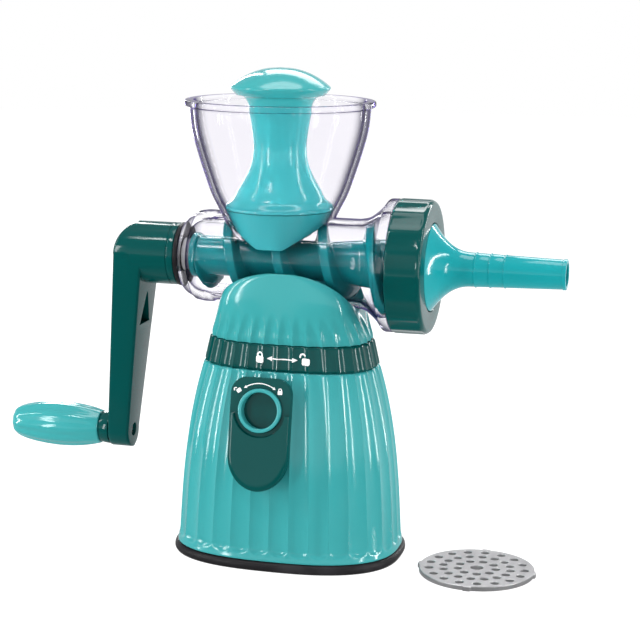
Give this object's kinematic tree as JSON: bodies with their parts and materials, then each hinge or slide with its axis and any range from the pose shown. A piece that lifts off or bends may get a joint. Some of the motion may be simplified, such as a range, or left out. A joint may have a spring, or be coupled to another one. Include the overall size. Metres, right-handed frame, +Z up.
{
  "type": "hand crank meat grinder",
  "caption": "Suction-base meat grinder: a crank turns an auger in a clear barrel under a hopper with a pusher, a knife, plates, a nut and a nozzle.",
  "frame": {"origin": "on the table, at the middle of the whole object's footprint, which is straight below the hopper's axis", "axes": "+X along the barrel towards the nozzle, +Y away from the suction lever, +Z up"},
  "size_m": [0.3192, 0.1038, 0.2707],
  "materials": {
    "turquoise_plastic": "glossy moulded plastic",
    "dark_green_plastic": "glossy moulded plastic",
    "clear_plastic": "clear moulded plastic",
    "black_rubber": "matt moulded rubber",
    "stainless_steel": "brushed stainless steel",
    "zinc_plated_steel": "zinc plated steel",
    "white_nylon": "satin moulded nylon"
  },
  "bodies": {
    "base": {"foot_rim": "black_rubber", "base_shell": "turquoise_plastic", "base_plate": "dark_green_plastic", "base_screw_1": "zinc_plated_steel", "base_screw_2": "zinc_plated_steel", "base_screw_3": "zinc_plated_steel", "base_screw_4": "zinc_plated_steel", "lock_band": "dark_green_plastic", "band_screw_1": "zinc_plated_steel", "band_screw_2": "zinc_plated_steel"},
    "pull_rod": {"pull_rod": "zinc_plated_steel", "suction_cup": "black_rubber", "cup_spring": "zinc_plated_steel"},
    "lever": {"lock_lever": "dark_green_plastic", "lever_ring": "turquoise_plastic", "cam": "white_nylon"},
    "head": {"dome": "turquoise_plastic", "bayonet_spigot": "dark_green_plastic", "spigot_screw_1": "zinc_plated_steel", "spigot_screw_2": "zinc_plated_steel", "housing_screw": "zinc_plated_steel", "clear_housing": "clear_plastic", "rear_bush": "white_nylon", "seal_ring": "black_rubber", "coarse_plate": "stainless_steel"},
    "crank": {"crank_arm": "dark_green_plastic", "drive_shaft": "stainless_steel", "auger": "turquoise_plastic", "knife": "stainless_steel", "crank_bolt": "zinc_plated_steel", "grip_collar": "dark_green_plastic", "grip_screw": "zinc_plated_steel"},
    "grip": {"grip": "turquoise_plastic"},
    "nozzle": {"nozzle": "turquoise_plastic"},
    "nut": {"retaining_nut": "dark_green_plastic"},
    "pusher": {"pusher_body": "turquoise_plastic", "pusher_plug": "turquoise_plastic"},
    "spare_plate": {"fine_plate": "stainless_steel"}
  },
  "joints": [
    {"name": "head_twist", "type": "hinge", "parent": "base", "child": "head", "pos_m": [0.008, 0, 0.1223], "axis": [0, 0, 1], "range_deg": [0, 30]},
    {"name": "crank_spin", "type": "hinge", "parent": "head", "child": "crank", "pos_m": [0, 0, 0.1653], "axis": [1, 0, 0], "continuous": true},
    {"name": "grip_spin", "type": "hinge", "parent": "crank", "child": "grip", "pos_m": [-0.099, 0, 0.0613], "axis": [1, 0, 0], "continuous": true},
    {"name": "nozzle_draw", "type": "slide", "parent": "head", "child": "nozzle", "axis": [1, 0, 0], "range_m": [0, 0.008]},
    {"name": "nut_turn", "type": "hinge", "parent": "nozzle", "child": "nut", "pos_m": [0.0673, 0, 0.1653], "axis": [1, 0, 0], "range_deg": [0, 720]},
    {"name": "pusher_lift", "type": "slide", "parent": "head", "child": "pusher", "axis": [0, 0, 1], "range_m": [0, 0.09]},
    {"name": "lever_turn", "type": "hinge", "parent": "base", "child": "lever", "pos_m": [0.0022, -0.0378, 0.0883], "axis": [0, -0.9848, 0.1736], "range_deg": [0, 90]},
    {"name": "cup_drop", "type": "slide", "parent": "base", "child": "pull_rod", "axis": [0, 0, -1], "range_m": [0, 0.00585], "deforming": ["suction_cup", "cup_spring"]},
    {"name": "spare_plate_lift", "type": "slide", "parent": "base", "child": "spare_plate", "axis": [0, 0, 1], "range_m": [0, 0.05]}
  ],
  "couplings": [
    {"joint": "nozzle_draw", "follows": "nut_turn", "m_per_rad": 0.00063662},
    {"joint": "cup_drop", "follows": "lever_turn", "m_per_rad": 0.0037242}
  ]
}
